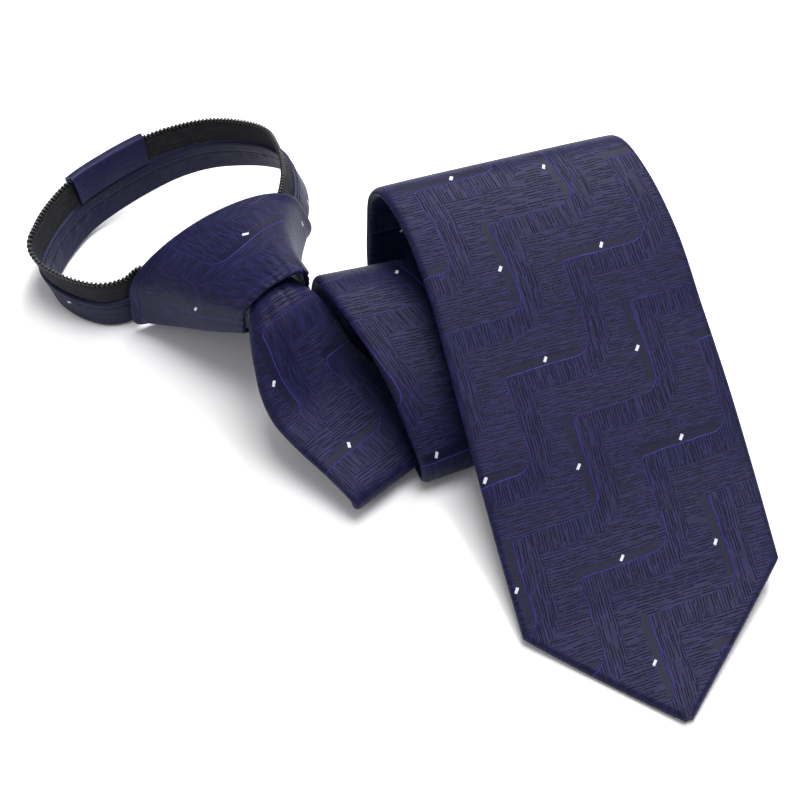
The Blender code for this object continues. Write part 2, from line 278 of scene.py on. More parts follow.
# silk-like polyester jacquard: yarn-dyed navy, woven tone on tone, with a soft satin gloss;
# wander is how far in mm the pattern strays, relief the depth of its grooves in metres
clothLook = {"ground": "#0c0c2c", "light": "#20204e", "groove": "#03030c", "shade": "#070720",
             "edge": "#2a2770", "dash": "#b8bcca", "sheen": "#6a6ad0", "roughness": 0.52,
             "wander": 0.9, "twill": 0.45, "grooveShare": 0.95, "shadeShare": 0.75, "relief": 0.00028}


def tieCloth(name, start, turn=0.0, stretch=(1.0, 1.0)):
    material, tree, shader = newMaterial(name, {
        "Roughness": clothLook["roughness"], "Specular IOR Level": 0.14, "Sheen Weight": 0.03,
        "Sheen Roughness": 0.35, "Sheen Tint": hexColour(clothLook["sheen"])})
    add = partial(addNode, tree)
    flat = add("UVMap", uv_map="cloth")
    flat = add("Mapping", {"Vector": flat, "Location": (start[0], start[1], 0),
                           "Rotation": (0, 0, np.radians(turn)), "Scale": (*stretch, 1)})
    wander = add("TexNoise", {"Vector": flat, "Scale": 0.11, "Detail": 2.0}, out="Color",
                 noise_dimensions="2D")
    wander = add("VectorMath", (wander, (0.5, 0.5, 0.5)), operation="SUBTRACT")
    far = clothLook["wander"]
    wander = add("VectorMath", (wander, (far, far, 0)), operation="MULTIPLY")
    drawn = add("VectorMath", (flat, wander), operation="ADD")
    lean, rise = jacquard["lean"], jacquard["rise"]
    scale = 1 + lean * rise
    p = add("VectorMath", (drawn, (1 / scale, -lean / scale, 0)), out="Value", operation="DOT_PRODUCT")
    q = add("VectorMath", (drawn, (rise / scale, 1 / scale, 0)), out="Value", operation="DOT_PRODUCT")
    weave = add("CombineXYZ", (p, q, 0.0))
    other = tuple(c / 2 for c in jacquard["nextLine"])
    families = [(*steppedLine(add, weave, (0.0, 0.0)), True), (*steppedLine(add, weave, other), False)]

    x, y = add("SeparateXYZ", (drawn,)).node.outputs[:2]
    lengthwise = hatchLines(add, x, y, *hatch["lengthwise"])
    crosswise = hatchLines(add, y, x, *hatch["crosswise"])
    ribbon = shade = edge = dash = None
    soft = jacquard["softEdge"]
    for distance, upper, lower, onRun in families:
        # the ribbon of lengthwise grooves on the lower right side of the line
        begin = add("MapRange", (distance, 0.0, 0.3, 0.0, 1.0))
        end = add("MapRange", (distance, jacquard["ribbon"] - soft, jacquard["ribbon"] + soft, 1.0, 0.0))
        strip = add("Math", (begin, end), operation="MULTIPLY")
        # 1 on the runs and 0 on the upright stretches, or the other way round
        upX = add("SeparateXYZ", (upper,)).node.outputs[0]
        lowY = add("SeparateXYZ", (lower,)).node.outputs[1]
        upX = add("Math", (upX,), operation="ABSOLUTE")
        lowY = add("Math", (lowY,), operation="ABSOLUTE")
        which = add("Math", (upX, lowY) if onRun else (lowY, upX), operation="SUBTRACT")
        which = add("MapRange", (which, -2.0, 2.0, 0.0, 1.0))
        # the plain dark strip on the line's other side, then the line itself
        dark = add("MapRange", (distance, -jacquard["shadow"] - soft, soft - jacquard["shadow"], 0.0, 1.0))
        fade = add("MapRange", (distance, -0.05, 0.15, 1.0, 0.0))
        dark = add("Math", (dark, fade), operation="MULTIPLY")
        dark = add("Math", (dark, which), operation="MULTIPLY")
        offset = add("Math", (distance, jacquard["lineMiddle"]), operation="SUBTRACT")
        offset = add("Math", (offset,), operation="ABSOLUTE")
        line = add("MapRange", (offset, *jacquard["lineHalf"], 1.0, 0.0))
        strength = add("Math", (which, 0.65, 0.30), operation="MULTIPLY_ADD")
        line = add("Math", (line, strength), operation="MULTIPLY")
        mark = dashMark(add, lower if onRun else upper,
                        jacquard["acrossDash"] if onRun else jacquard["alongDash"])
        if ribbon is None:
            ribbon, shade, edge, dash = strip, dark, line, mark
        else:
            ribbon = add("Math", (ribbon, strip), operation="MAXIMUM")
            shade = add("Math", (shade, dark), operation="MAXIMUM")
            edge = add("Math", (edge, line), operation="MAXIMUM")
            dash = add("Math", (dash, mark), operation="MAXIMUM")
    groove = add("Mix", {0: ribbon, 2: crosswise, 3: lengthwise})
    plain = add("Math", (1.0, shade), operation="SUBTRACT")
    groove = add("Math", (groove, plain), operation="MULTIPLY")
    # soft streaks of yarn, lengthwise in the ribbon and crosswise outside it
    longGrain = add("Mapping", {"Vector": drawn, "Scale": (1.3, 0.16, 1)})
    longGrain = add("TexNoise", {"Vector": longGrain, "Scale": 1.0, "Detail": 3.0}, noise_dimensions="2D")
    crossGrain = add("Mapping", {"Vector": drawn, "Scale": (0.22, 1.2, 1)})
    crossGrain = add("TexNoise", {"Vector": crossGrain, "Scale": 1.0, "Detail": 3.0}, noise_dimensions="2D")
    grain = add("Mix", {0: ribbon, 2: crossGrain, 3: longGrain})
    # the satin weave, drawn about three times as coarse as the real yarn
    twill = add("Math", (x, y), operation="ADD")
    twill = add("Math", (twill, 2 * np.pi / clothLook["twill"]), operation="MULTIPLY")
    twill = add("Math", (twill,), operation="SINE")
    twill = add("Math", (twill, 0.5, 0.5), operation="MULTIPLY_ADD")

    light = add("MapRange", (grain, 0.40, 0.64, 0.0, 1.0))
    light = add("Math", (light, twill), operation="MULTIPLY")
    colour = add("Mix", {0: light, 6: hexColour(clothLook["ground"]), 7: hexColour(clothLook["light"])},
                 out=2, data_type="RGBA")
    share = add("Math", (groove, clothLook["grooveShare"]), operation="MULTIPLY")
    colour = add("Mix", {0: share, 6: colour, 7: hexColour(clothLook["groove"])}, out=2, data_type="RGBA")
    share = add("Math", (shade, clothLook["shadeShare"]), operation="MULTIPLY")
    colour = add("Mix", {0: share, 6: colour, 7: hexColour(clothLook["shade"])}, out=2, data_type="RGBA")
    colour = add("Mix", {0: edge, 6: colour, 7: hexColour(clothLook["edge"])}, out=2, data_type="RGBA")
    colour = add("Mix", {0: dash, 6: colour, 7: hexColour(clothLook["dash"])}, out=2, data_type="RGBA")
    tree.links.new(colour, shader.inputs["Base Color"])

    height = add("Math", (groove, -1.0, 1.0), operation="MULTIPLY_ADD")
    height = add("Math", (edge, 0.5, height), operation="MULTIPLY_ADD")
    height = add("Math", (shade, -0.5, height), operation="MULTIPLY_ADD")
    height = add("Math", (twill, 0.12, height), operation="MULTIPLY_ADD")
    bump = add("Bump", {"Strength": 0.6, "Distance": clothLook["relief"], "Height": height})
    tree.links.new(bump, shader.inputs["Normal"])
    return material


def plainCloth(name, look):
    # a plain woven band: fine ribs across it, rib mm apart, slubs along it, and any bright floats
    material, tree, shader = newMaterial(name, {
        "Roughness": look["roughness"], "Specular IOR Level": 0.2, "Sheen Weight": look["sheen"],
        "Sheen Roughness": 0.35, "Sheen Tint": hexColour("#7070c8")})
    add = partial(addNode, tree)
    flat = add("UVMap", uv_map="cloth")
    x, y = add("SeparateXYZ", (flat,)).node.outputs[:2]
    ribs = add("Math", (y, 2 * np.pi / look["rib"]), operation="MULTIPLY")
    ribs = add("Math", (ribs,), operation="SINE")
    ribs = add("Math", (ribs, 0.5, 0.5), operation="MULTIPLY_ADD")
    cross = add("Math", (x, 2 * np.pi / (look["rib"] * 0.8)), operation="MULTIPLY")
    cross = add("Math", (cross,), operation="SINE")
    cross = add("Math", (cross, 0.5, 0.5), operation="MULTIPLY_ADD")
    weave = add("Math", (ribs, cross), operation="MULTIPLY")
    slub = add("Mapping", {"Vector": flat, "Scale": (0.9, 0.25, 1)})
    slub = add("TexNoise", {"Vector": slub, "Scale": 1.0, "Detail": 4.0}, noise_dimensions="2D")
    light = add("MapRange", (slub, 0.35, 0.7, 0.0, 1.0))
    light = add("Math", (light, weave), operation="ADD")
    light = add("Math", (light, 0.5), operation="MULTIPLY", use_clamp=True)
    colour = add("Mix", {0: light, 6: hexColour(look["dark"]), 7: hexColour(look["light"])},
                 out=2, data_type="RGBA")
    for centre in look.get("dashes", ()):
        mark = dashMark(add, flat, centre)
        colour = add("Mix", {0: mark, 6: colour, 7: hexColour(clothLook["dash"])}, out=2, data_type="RGBA")
    tree.links.new(colour, shader.inputs["Base Color"])
    height = add("Math", (slub, 1.2, weave), operation="MULTIPLY_ADD")
    bump = add("Bump", {"Strength": look["relief"], "Distance": 0.00018, "Height": height})
    tree.links.new(bump, shader.inputs["Normal"])
    return material


# moulded nylon coil: black, slightly shiny where the wire is round
nylonLook = {"colour": "#0b0c0e", "smoothest": 0.26, "roughest": 0.48}


def coilNylon(name):
    material, tree, shader = newMaterial(name, {
        "Base Color": hexColour(nylonLook["colour"]), "Specular IOR Level": 0.6, "IOR": 1.53})
    add = partial(addNode, tree)
    spot = add("TexCoord", out="Object")
    wear = add("TexNoise", {"Vector": spot, "Scale": 900.0, "Detail": 3.0})
    rough = add("MapRange", (wear, 0.3, 0.7, nylonLook["smoothest"], nylonLook["roughest"]))
    tree.links.new(rough, shader.inputs["Roughness"])
    return material


# the pattern is moved, turned and mirrored on the knot as the cloth is folded there
jacquardCloth = tieCloth("navy_jacquard_silk", (-7.33, 79.0))
knotCloth = tieCloth("navy_jacquard_on_knot", (-0.45, 31.4), turn=-74, stretch=(-0.92, 0.92))
# satin of the strap with two bright floats, a finer ribbon on the sleeve, and matt black tape
strapCloth = plainCloth("navy_satin_strap", {
    "dark": "#0b0b26", "light": "#17173c", "roughness": 0.5, "sheen": 0.03, "rib": 0.9, "relief": 0.5,
    "dashes": ((8.3, 57.6), (2.5, 192.5))})
sleeveCloth = plainCloth("navy_satin_ribbon", {
    "dark": "#0e0e30", "light": "#1b1b48", "roughness": 0.46, "sheen": 0.03, "rib": 0.7, "relief": 0.35})
tapeWeave = plainCloth("black_zip_tape_weave", {
    "dark": "#101113", "light": "#26272b", "roughness": 0.85, "sheen": 0.03, "rib": 0.8, "relief": 0.8})
nylon = coilNylon("black_nylon_coil")
print("materials done")

# blade
# one row per place on the left edge, from inside the knot to the shoulders.
# side, front, height: shares of the roll; turn and bank in degrees; width and arch: shares of width
bladeRows = (
    (-0.912, 0.020, 0.640, -24, 0, 0.203, 0.050),
    (-0.932, 0.095, 0.655, -24, 0, 0.255, 0.060),
    (-0.948, 0.180, 0.620, -24, 0, 0.326, 0.065),
    (-0.956, 0.270, 0.530, -25, 0, 0.388, 0.060),
    (-0.955, 0.360, 0.430, -26, 0, 0.430, 0.045),
    (-0.930, 0.450, 0.340, -27, 0, 0.470, 0.030),
    (-0.865, 0.560, 0.270, -28, 0, 0.490, 0.015),
    (-0.780, 0.690, 0.210, -28, 0, 0.500, 0.000),
    (-0.718, 0.795, 0.150, -28, 0, 0.510, 0.000),
    (-0.715, 0.785, 0.098, -28, 0, 0.520, 0.000),
    (-0.715, 0.600, 0.094, -24, 0, 0.530, 0.000),
    (-0.690, 0.300, 0.094, -14, 0, 0.560, 0.000),
    (-0.670, 0.050, 0.100, -4, 0, 0.590, 0.000),
    (-0.655, -0.050, 0.170, 0, 0, 0.610, 0.000),
    (-0.645, -0.105, 0.380, 1, 0, 0.630, 0.000),
    (-0.635, -0.080, 0.560, 1, 0, 0.650, 0.000),
    (-0.632, 0.035, 0.675, 1, 0, 0.665, 0.000),
    (-0.598, 0.170, 0.685, 0, 0, 0.685, 0.000),
    (-0.545, 0.320, 0.625, -2, 0, 0.705, 0.000),
    (-0.495, 0.500, 0.510, -4, 0, 0.735, 0.000),
    (-0.462, 0.655, 0.350, -6, 0, 0.765, 0.000),
    (-0.438, 0.735, 0.195, -7, 0, 0.785, 0.000),
    (-0.430, 0.705, 0.060, -8, 0, 0.795, 0.000),
    (-0.430, 0.580, 0.020, -7, 0, 0.805, 0.000),
    (-0.415, 0.300, 0.020, -5, 0, 0.840, 0.000),
    (-0.395, 0.000, 0.020, -3, 0, 0.880, 0.000),
    (-0.378, -0.170, 0.100, -2, 0, 0.905, 0.000),
    (-0.366, -0.280, 0.300, -1, 0, 0.930, 0.000),
    (-0.362, -0.292, 0.570, -1, 0, 0.946, 0.000),
    (-0.357, -0.264, 0.855, -1, 1, 0.962, 0.000),
    (-0.340, -0.150, 1.008, -1, 1, 0.971, 0.000),
    (-0.307, 0.020, 0.985, -1, 1, 0.974, 0.000),
    (-0.285, 0.270, 0.860, -1, 1, 0.985, 0.000),
    (-0.280, 0.560, 0.650, -2, 1, 0.995, 0.000),
    (-0.279, 0.860, 0.430, -2, 2, 1.000, 0.000),
    (-0.278, 1.150, 0.220, -2, 3, 0.995, 0.000),
    (-0.280, 1.495, 0.045, -2, 4, 0.972, 0.000),
)

blade = {"width": 0.0800, "thickness": 0.0030, "edgeRound": 0.0020, "pointLength": 0.0380,
         "pointSide": -0.0045, "pointWidth": 0.0030, "step": 0.0012, "topCount": 56, "edgeCount": 8,
         "crown": 0.0003, "crownFrom": 0.330, "seamDepth": 0.0005, "seamHalf": 0.0006,
         "gather": 0.0005, "gatherAt": 0.016, "gatherReach": 0.012, "pointGap": 0.0003,
         "floorGap": 0.0001}


# how far the pattern is shifted on each layer of the roll: places along the cloth, then the shift
# across and along at each, all in mm
layers = {"at": (-470, -400, -290, -225), "across": (20.0, -4.2, -4.2, 0.0),
          "along": (1.0, 14.2, 14.2, 0.0)}


def bladePath():
    # middle, across, half width and arch at equal lengths, the point's straight taper included
    rows = smoothRows(bladeRows, 12)
    turn, bank = np.radians(rows[:, 3]), np.radians(rows[:, 4])
    across = np.stack([np.cos(turn) * np.cos(bank), -np.sin(turn) * np.cos(bank), np.sin(bank)], -1)
    half = rows[:, 5] * blade["width"] / 2
    middle = place(rows[:, 0], rows[:, 1], rows[:, 2]) + across * half[:, None]
    middle[:, 2] = np.maximum(middle[:, 2], blade["thickness"] / 2)
    onward = np.array([across[-1][1], -across[-1][0], 0.0]) * blade["pointLength"]
    onward[0] += blade["pointSide"]
    share = np.linspace(0, 1, 40)[1:]
    last = middle[-1]
    tail = last + onward * share[:, None]
    drop = last[2] - blade["thickness"] / 2 - blade["pointGap"]
    tail[:, 2] = last[2] - drop * share * (2 - share)
    tailHalf = half[-1] + (blade["pointWidth"] / 2 - half[-1]) * share
    columns = np.hstack([
        np.vstack([middle, tail]), np.vstack([across, np.repeat(across[-1:], len(share), 0)]),
        np.concatenate([half, tailHalf])[:, None],
        np.concatenate([rows[:, 6] * blade["width"], 0 * share])[:, None]])
    at, columns = evenRows(columns, blade["step"])
    return at, columns[:, :3], unit(columns[:, 3:6]), columns[:, 6], columns[:, 7]


def bladeSurface():
    # a flat strip with rounded folded edges carried along the path; its top bulges by the arch and
    # a slight crown, its underside has the groove where the two folded flaps meet
    at, middle, across, half, arch = bladePath()
    outward = unit(np.cross(np.gradient(middle, axis=0), across))
    quarter = blade["topCount"] // 2
    turn = np.linspace(-np.pi / 2, np.pi / 2, blade["edgeCount"] + 1)[:-1]
    zero, low = np.zeros(quarter), -np.ones(quarter)
    flat = np.concatenate([np.linspace(0, -1, quarter, endpoint=False), -np.ones(len(turn)),
                           np.linspace(-1, 1, 2 * quarter, endpoint=False), np.ones(len(turn)),
                           np.linspace(1, 0, quarter, endpoint=False)])
    edge = np.concatenate([zero, -np.cos(turn), zero, zero, np.cos(turn), zero])
    level = np.concatenate([low, np.sin(turn), -low, -low, -np.sin(turn), low])
    rounding = np.minimum(blade["edgeRound"], half * 0.6)[:, None]
    x = flat * (half[:, None] - rounding) + edge * rounding
    share = x / half[:, None]
    s = at[:, None]
    thick = np.where(half > blade["thickness"], 1.0, 0.7)[:, None] * blade["thickness"] / 2
    y = level * thick + arch[:, None] * (1 - share ** 2)
    top, under = np.clip(level, 0, 1), np.clip(-level, 0, 1)
    openRoll = np.clip((s - blade["crownFrom"]) / 0.03, 0, 1)
    y += top * openRoll * blade["crown"] * (1 - share ** 4)
    y += under * blade["seamDepth"] * bell(x, 0, blade["seamHalf"])
    pleats = np.cos(9.0 * share + 0.8) * 0.6 + np.cos(17.0 * share - 0.6) * 0.4
    gathered = bell(s, blade["gatherAt"], blade["gatherReach"])
    y += top * blade["gather"] * pleats * gathered * (1 - share ** 2)
    points = middle[:, None] + x[..., None] * across[:, None] + y[..., None] * outward[:, None]
    points[..., 2] = np.maximum(points[..., 2], blade["floorGap"])
    ring = np.concatenate([points, points[:, :1]], 1)
    reach = np.cumsum(np.linalg.norm(np.diff(ring, axis=1), axis=2), 1)
    reach = np.concatenate([np.zeros((len(at), 1)), reach], 1)
    centre = quarter + len(turn) + quarter
    clothAcross = (reach - reach[:, centre:centre + 1]) * 1000
    along = (at - at[-1]) * 1000
    drift = [np.interp(along, layers["at"], layers[way]) for way in ("across", "along")]
    clothAcross = clothAcross + drift[0][:, None]
    clothAlong = np.repeat((along + drift[1])[:, None], ring.shape[1], 1)
    return points, clothAcross, clothAlong, at, half


points, clothAcross, clothAlong, bladeAt, bladeHalf = bladeSurface()
bladeCloth = buildPiece("blade_cloth", points, clothAcross, clothAlong, facingPairs(points.shape[1],
                        blade["topCount"] // 2 + blade["edgeCount"] // 2))
finishPiece(bladeCloth, jacquardCloth, "tie_cloth", "blade")

# knot
# one row per section from the open rim to the mouth: left-top, right-top, right-low and left-low
# corners as side, front, height, then the crown of the top as a share of the roll's height
knotRows = (
    (-1.310, -0.372, 0.440, -0.618, -0.500, 0.690, -0.510, -0.565, 0.195, -1.322, -0.372, 0.004, 0.135),
    (-1.205, -0.240, 0.530, -0.664, -0.355, 0.735, -0.592, -0.380, 0.270, -1.215, -0.245, 0.130, 0.115),
    (-1.080, -0.075, 0.630, -0.690, -0.170, 0.778, -0.656, -0.180, 0.430, -1.090, -0.080, 0.310, 0.08),
    (-0.958, 0.095, 0.725, -0.672, -0.005, 0.800, -0.664, -0.005, 0.570, -0.962, 0.095, 0.505, 0.06),
)
knot = {"wall": 0.0015, "hem": 0.0007, "hemReach": 0.0020, "squareness": 0.38, "steps": 26, "around": 220,
        "pleat": 0.0003, "pleatReach": 0.0060, "fold": 0.0004, "lipCount": 6}


def knotSurface():
    # four-cornered sections with rounded corners, read at equal steps round, with folds pressed
    # into the outside, then carried back inside as a wall with rounded lips at rim and mouth
    rows = smoothRows(knotRows, knot["steps"])
    angle = np.linspace(-np.pi / 2, 1.5 * np.pi, 1441)
    a = np.sign(np.cos(angle)) * np.abs(np.cos(angle)) ** knot["squareness"]
    b = np.sign(np.sin(angle)) * np.abs(np.sin(angle)) ** knot["squareness"]
    outer = []
    for row in rows:
        leftTop, rightTop, rightLow, leftLow = (place(*row[i:i + 3]) for i in (0, 3, 6, 9))
        top = leftTop + (rightTop - leftTop) * (a[:, None] + 1) / 2
        low = leftLow + (rightLow - leftLow) * (a[:, None] + 1) / 2
        ring = low + (top - low) * (b[:, None] + 1) / 2
        ring[:, 2] += row[12] * roll["height"] * (1 - a ** 2) * (b + 1) / 2
        lengths = lengthsAlong(ring)
        read = np.linspace(0, lengths[-1], knot["around"] + 1)[:-1]
        outer.append(np.stack([np.interp(read, lengths, c) for c in ring.T], -1))
    outer = np.array(outer)
    ahead = unit(np.gradient(outer, axis=0))
    about = unit(np.roll(outer, -1, 1) - np.roll(outer, 1, 1))
    normal = unit(np.cross(about, ahead))
    if ((outer - outer.mean(1, keepdims=True)) * normal).sum() < 0:
        normal = -normal
    along = np.concatenate([np.zeros((1, outer.shape[1])),
                            np.cumsum(np.linalg.norm(np.diff(outer, axis=0), axis=2), 0)])
    toMouth = along[-1:] - along
    turn = np.linspace(0, 2 * np.pi, outer.shape[1], endpoint=False)[None]
    pleats = np.cos(17 * turn + 2 * np.sin(3 * turn)) * 0.55 + np.cos(29 * turn + 1.3) * 0.45
    lift = knot["pleat"] * pleats * np.exp(-toMouth / knot["pleatReach"])
    sweep = np.sin(2 * turn - 90 * along + 0.6) * bell(toMouth, 0.016, 0.014)
    lift = lift + knot["fold"] * sweep
    inner = outer - normal * knot["wall"]
    outer = outer + normal * (lift + knot["hem"] * bell(along, 0.0, knot["hemReach"]))[..., None]
    rings = [outer]
    arc = np.linspace(0, np.pi, knot["lipCount"] + 2)[1:-1]
    middle, half = (outer[-1] + inner[-1]) / 2, (outer[-1] - inner[-1]) / 2
    size = np.linalg.norm(half, axis=1, keepdims=True)
    rings.append(np.array([middle + half * np.cos(t) + ahead[-1] * size * np.sin(t) for t in arc]))
    rings.append(inner[::-3])
    back = inner[::-3][-1]
    middle, half = (outer[0] + back) / 2, (back - outer[0]) / 2
    size = np.linalg.norm(half, axis=1, keepdims=True)
    rings.append(np.array([middle + half * np.cos(t) - ahead[0] * size * np.sin(t) for t in arc]))
    points = np.concatenate(rings)
    steps = np.linalg.norm(points - np.roll(points, 1, 0), axis=2)
    steps[0] = 0
    runs = np.cumsum(steps, 0)
    closing = runs[-1:] + np.linalg.norm(points[:1] - points[-1:], axis=2)
    clothAlong = np.concatenate([runs, closing])
    ring = np.concatenate([points, points[:, :1]], 1)
    reach = np.concatenate([np.zeros((len(points), 1)),
                            np.cumsum(np.linalg.norm(np.diff(ring, axis=1), axis=2), 1)], 1)
    clothAcross = reach - reach[:, points.shape[1] // 2][:, None]
    clothAcross = np.concatenate([clothAcross, clothAcross[:1]])
    clothAlong = np.concatenate([clothAlong, clothAlong[:, :1]], 1)
    girth = np.linalg.norm(np.diff(np.concatenate([outer, outer[:, :1]], 1), axis=1), axis=2).sum(1)
    return points, clothAcross * 1000, clothAlong * 1000, girth.mean(), along[-1].mean()


points, clothAcross, clothAlong, knotGirth, knotLength = knotSurface()
knotPiece = buildPiece("knot_cloth", points, clothAcross, clothAlong, closedAlong=True, sharp=80)
finishPiece(knotPiece, knotCloth, "tie_cloth", "knot")

# neck band
# one row per place on the band's lower edge, from inside the knot round the neck and back:
# side, front, height as shares of the roll, and how many degrees the top leans outwards
bandRows = (
    (-0.930, -0.220, 0.200, 0),
    (-1.100, -0.360, 0.090, 0),
    (-1.260, -0.452, 0.025, 0),
    (-1.335, -0.435, 0.010, 4),
    (-1.412, -0.442, 0.006, 6),
    (-1.488, -0.490, 0.005, 8),
    (-1.550, -0.565, 0.005, 11),
    (-1.582, -0.640, 0.005, 15),
    (-1.586, -0.714, 0.005, 18),
    (-1.550, -0.786, 0.006, 19),
    (-1.500, -0.856, 0.012, 20),
    (-1.392, -0.966, 0.026, 19),
    (-1.268, -1.033, 0.054, 16),
    (-1.096, -1.090, 0.098, 13),
    (-0.959, -1.100, 0.154, 7),
    (-0.832, -1.078, 0.204, 3),
    (-0.718, -1.025, 0.252, -2),
    (-0.606, -0.946, 0.304, -10),
    (-0.540, -0.865, 0.335, -18),
    (-0.513, -0.742, 0.335, -21),
    (-0.532, -0.620, 0.312, -20),
    (-0.572, -0.545, 0.292, -17),
    (-0.635, -0.455, 0.272, -12),
    (-0.700, -0.340, 0.250, -6),
    (-0.790, -0.230, 0.200, 0),
)
band = {"strapHeight": 0.0112, "strapThickness": 0.0024, "tapeHeight": 0.0078, "tapeThickness": 0.0008,
        "toothHeight": 0.0012, "toothThickness": 0.0017, "sleeveWall": 0.0008, "gap": 0.0003,
        "stepsPerRow": 16, "strapSpan": (2.0, 21.4), "leftSpan": (0.0, 12.0), "rightSpan": (12.1, 24.0),
        "sleeveSpan": (11.0, 13.0)}

bandFine = smoothRows(bandRows, band["stepsPerRow"])
bandLow = place(bandFine[:, 0], bandFine[:, 1], bandFine[:, 2])
bandAt = lengthsAlong(bandLow)
bandLean = np.radians(bandFine[:, 3])


def bandFrame(s):
    # the band's lower edge, its outward way and its upward way at each length along it
    low = np.stack([np.interp(s, bandAt, c) for c in bandLow.T], -1)
    ahead = np.stack([np.interp(s + 0.002, bandAt, c) - np.interp(s - 0.002, bandAt, c)
                      for c in bandLow.T], -1)
    ahead[:, 2] = 0
    up = np.array([0.0, 0.0, 1.0])
    outward = unit(np.cross(up, unit(ahead)))
    lean = np.interp(s, bandAt, bandLean)[:, None]
    return low, np.cos(lean) * outward - np.sin(lean) * up, np.cos(lean) * up + np.sin(lean) * outward


def bandPoints(s, offset, height):
    low, flat, rise = bandFrame(s)
    return low[:, None] + flat[:, None] * offset[..., None] + rise[:, None] * height[..., None]


def bandCuts(span, step):
    start, end = np.interp(np.array(span) * band["stepsPerRow"], np.arange(len(bandAt)), bandAt)
    return np.linspace(start, end, int(round((end - start) / step)) + 1)


def bandCloth(s, x, y):
    # the cloth's own place: round the section, and along the band, in mm
    ring = np.concatenate([np.stack([x, y], -1), np.stack([x[:1], y[:1]], -1)])
    around = lengthsAlong(ring) * 1000
    return np.repeat(around[None], len(s), 0), np.repeat(s[:, None] * 1000, len(around), 1)


# the strap is a flat tube of satin: a turned lip on the outside at its top, a lapped seam inside
strap = {"step": 0.0009, "lipLow": 0.0093, "lipProud": 0.00022, "seamLow": 0.0074, "seamStep": 0.0004,
         "pucker": 0.00022, "puckerReach": 0.0016, "wave": 0.00012}
s = bandCuts(band["strapSpan"], strap["step"])
ringX, ringY = roundRing(band["strapThickness"] / 2, 0.0, band["strapHeight"], 0.0009, 34, 5)
outerSide = np.clip(ringX / (band["strapThickness"] / 2), 0, 1)
innerSide = np.clip(-ringX / (band["strapThickness"] / 2), 0, 1)
x = np.repeat(ringX[None], len(s), 0)
y = np.repeat(ringY[None], len(s), 0)
lip = np.clip((y - strap["lipLow"]) / 0.0002, 0, 1) - 1.6 * bell(y, strap["lipLow"] - 0.0002, 0.0003)
x = x + outerSide * strap["lipProud"] * lip
lap = np.clip((y - strap["seamLow"]) / 0.00025, 0, 1) - 0.8 * bell(y, strap["seamLow"], 0.0003)
x = x + innerSide * strap["seamStep"] * (1 - lap) * 0.6
ripple = (np.sin(s / 0.00061 + 1.7 * np.sin(s / 0.0043)) + np.sin(s / 0.00097 + 0.8)
          + np.sin(s / 0.0029))[:, None] / 3
x = x + outerSide * strap["pucker"] * ripple * bell(y, strap["lipLow"] - 0.0006, strap["puckerReach"])
nearSeam = bell(y, strap["seamLow"] - 0.0012, strap["puckerReach"])
x = x - innerSide * strap["pucker"] * 1.5 * ripple * nearSeam
x = x + strap["wave"] * np.sin(s / 0.0071)[:, None] * np.sin(np.pi * y / band["strapHeight"])
strapPiece = buildPiece("neck_strap_cloth", bandPoints(s, x, y), *bandCloth(s, ringX, ringY),
                        facingPairs(len(ringX), 0), sharp=70)
finishPiece(strapPiece, strapCloth, "strap_cloth", "neck_strap")

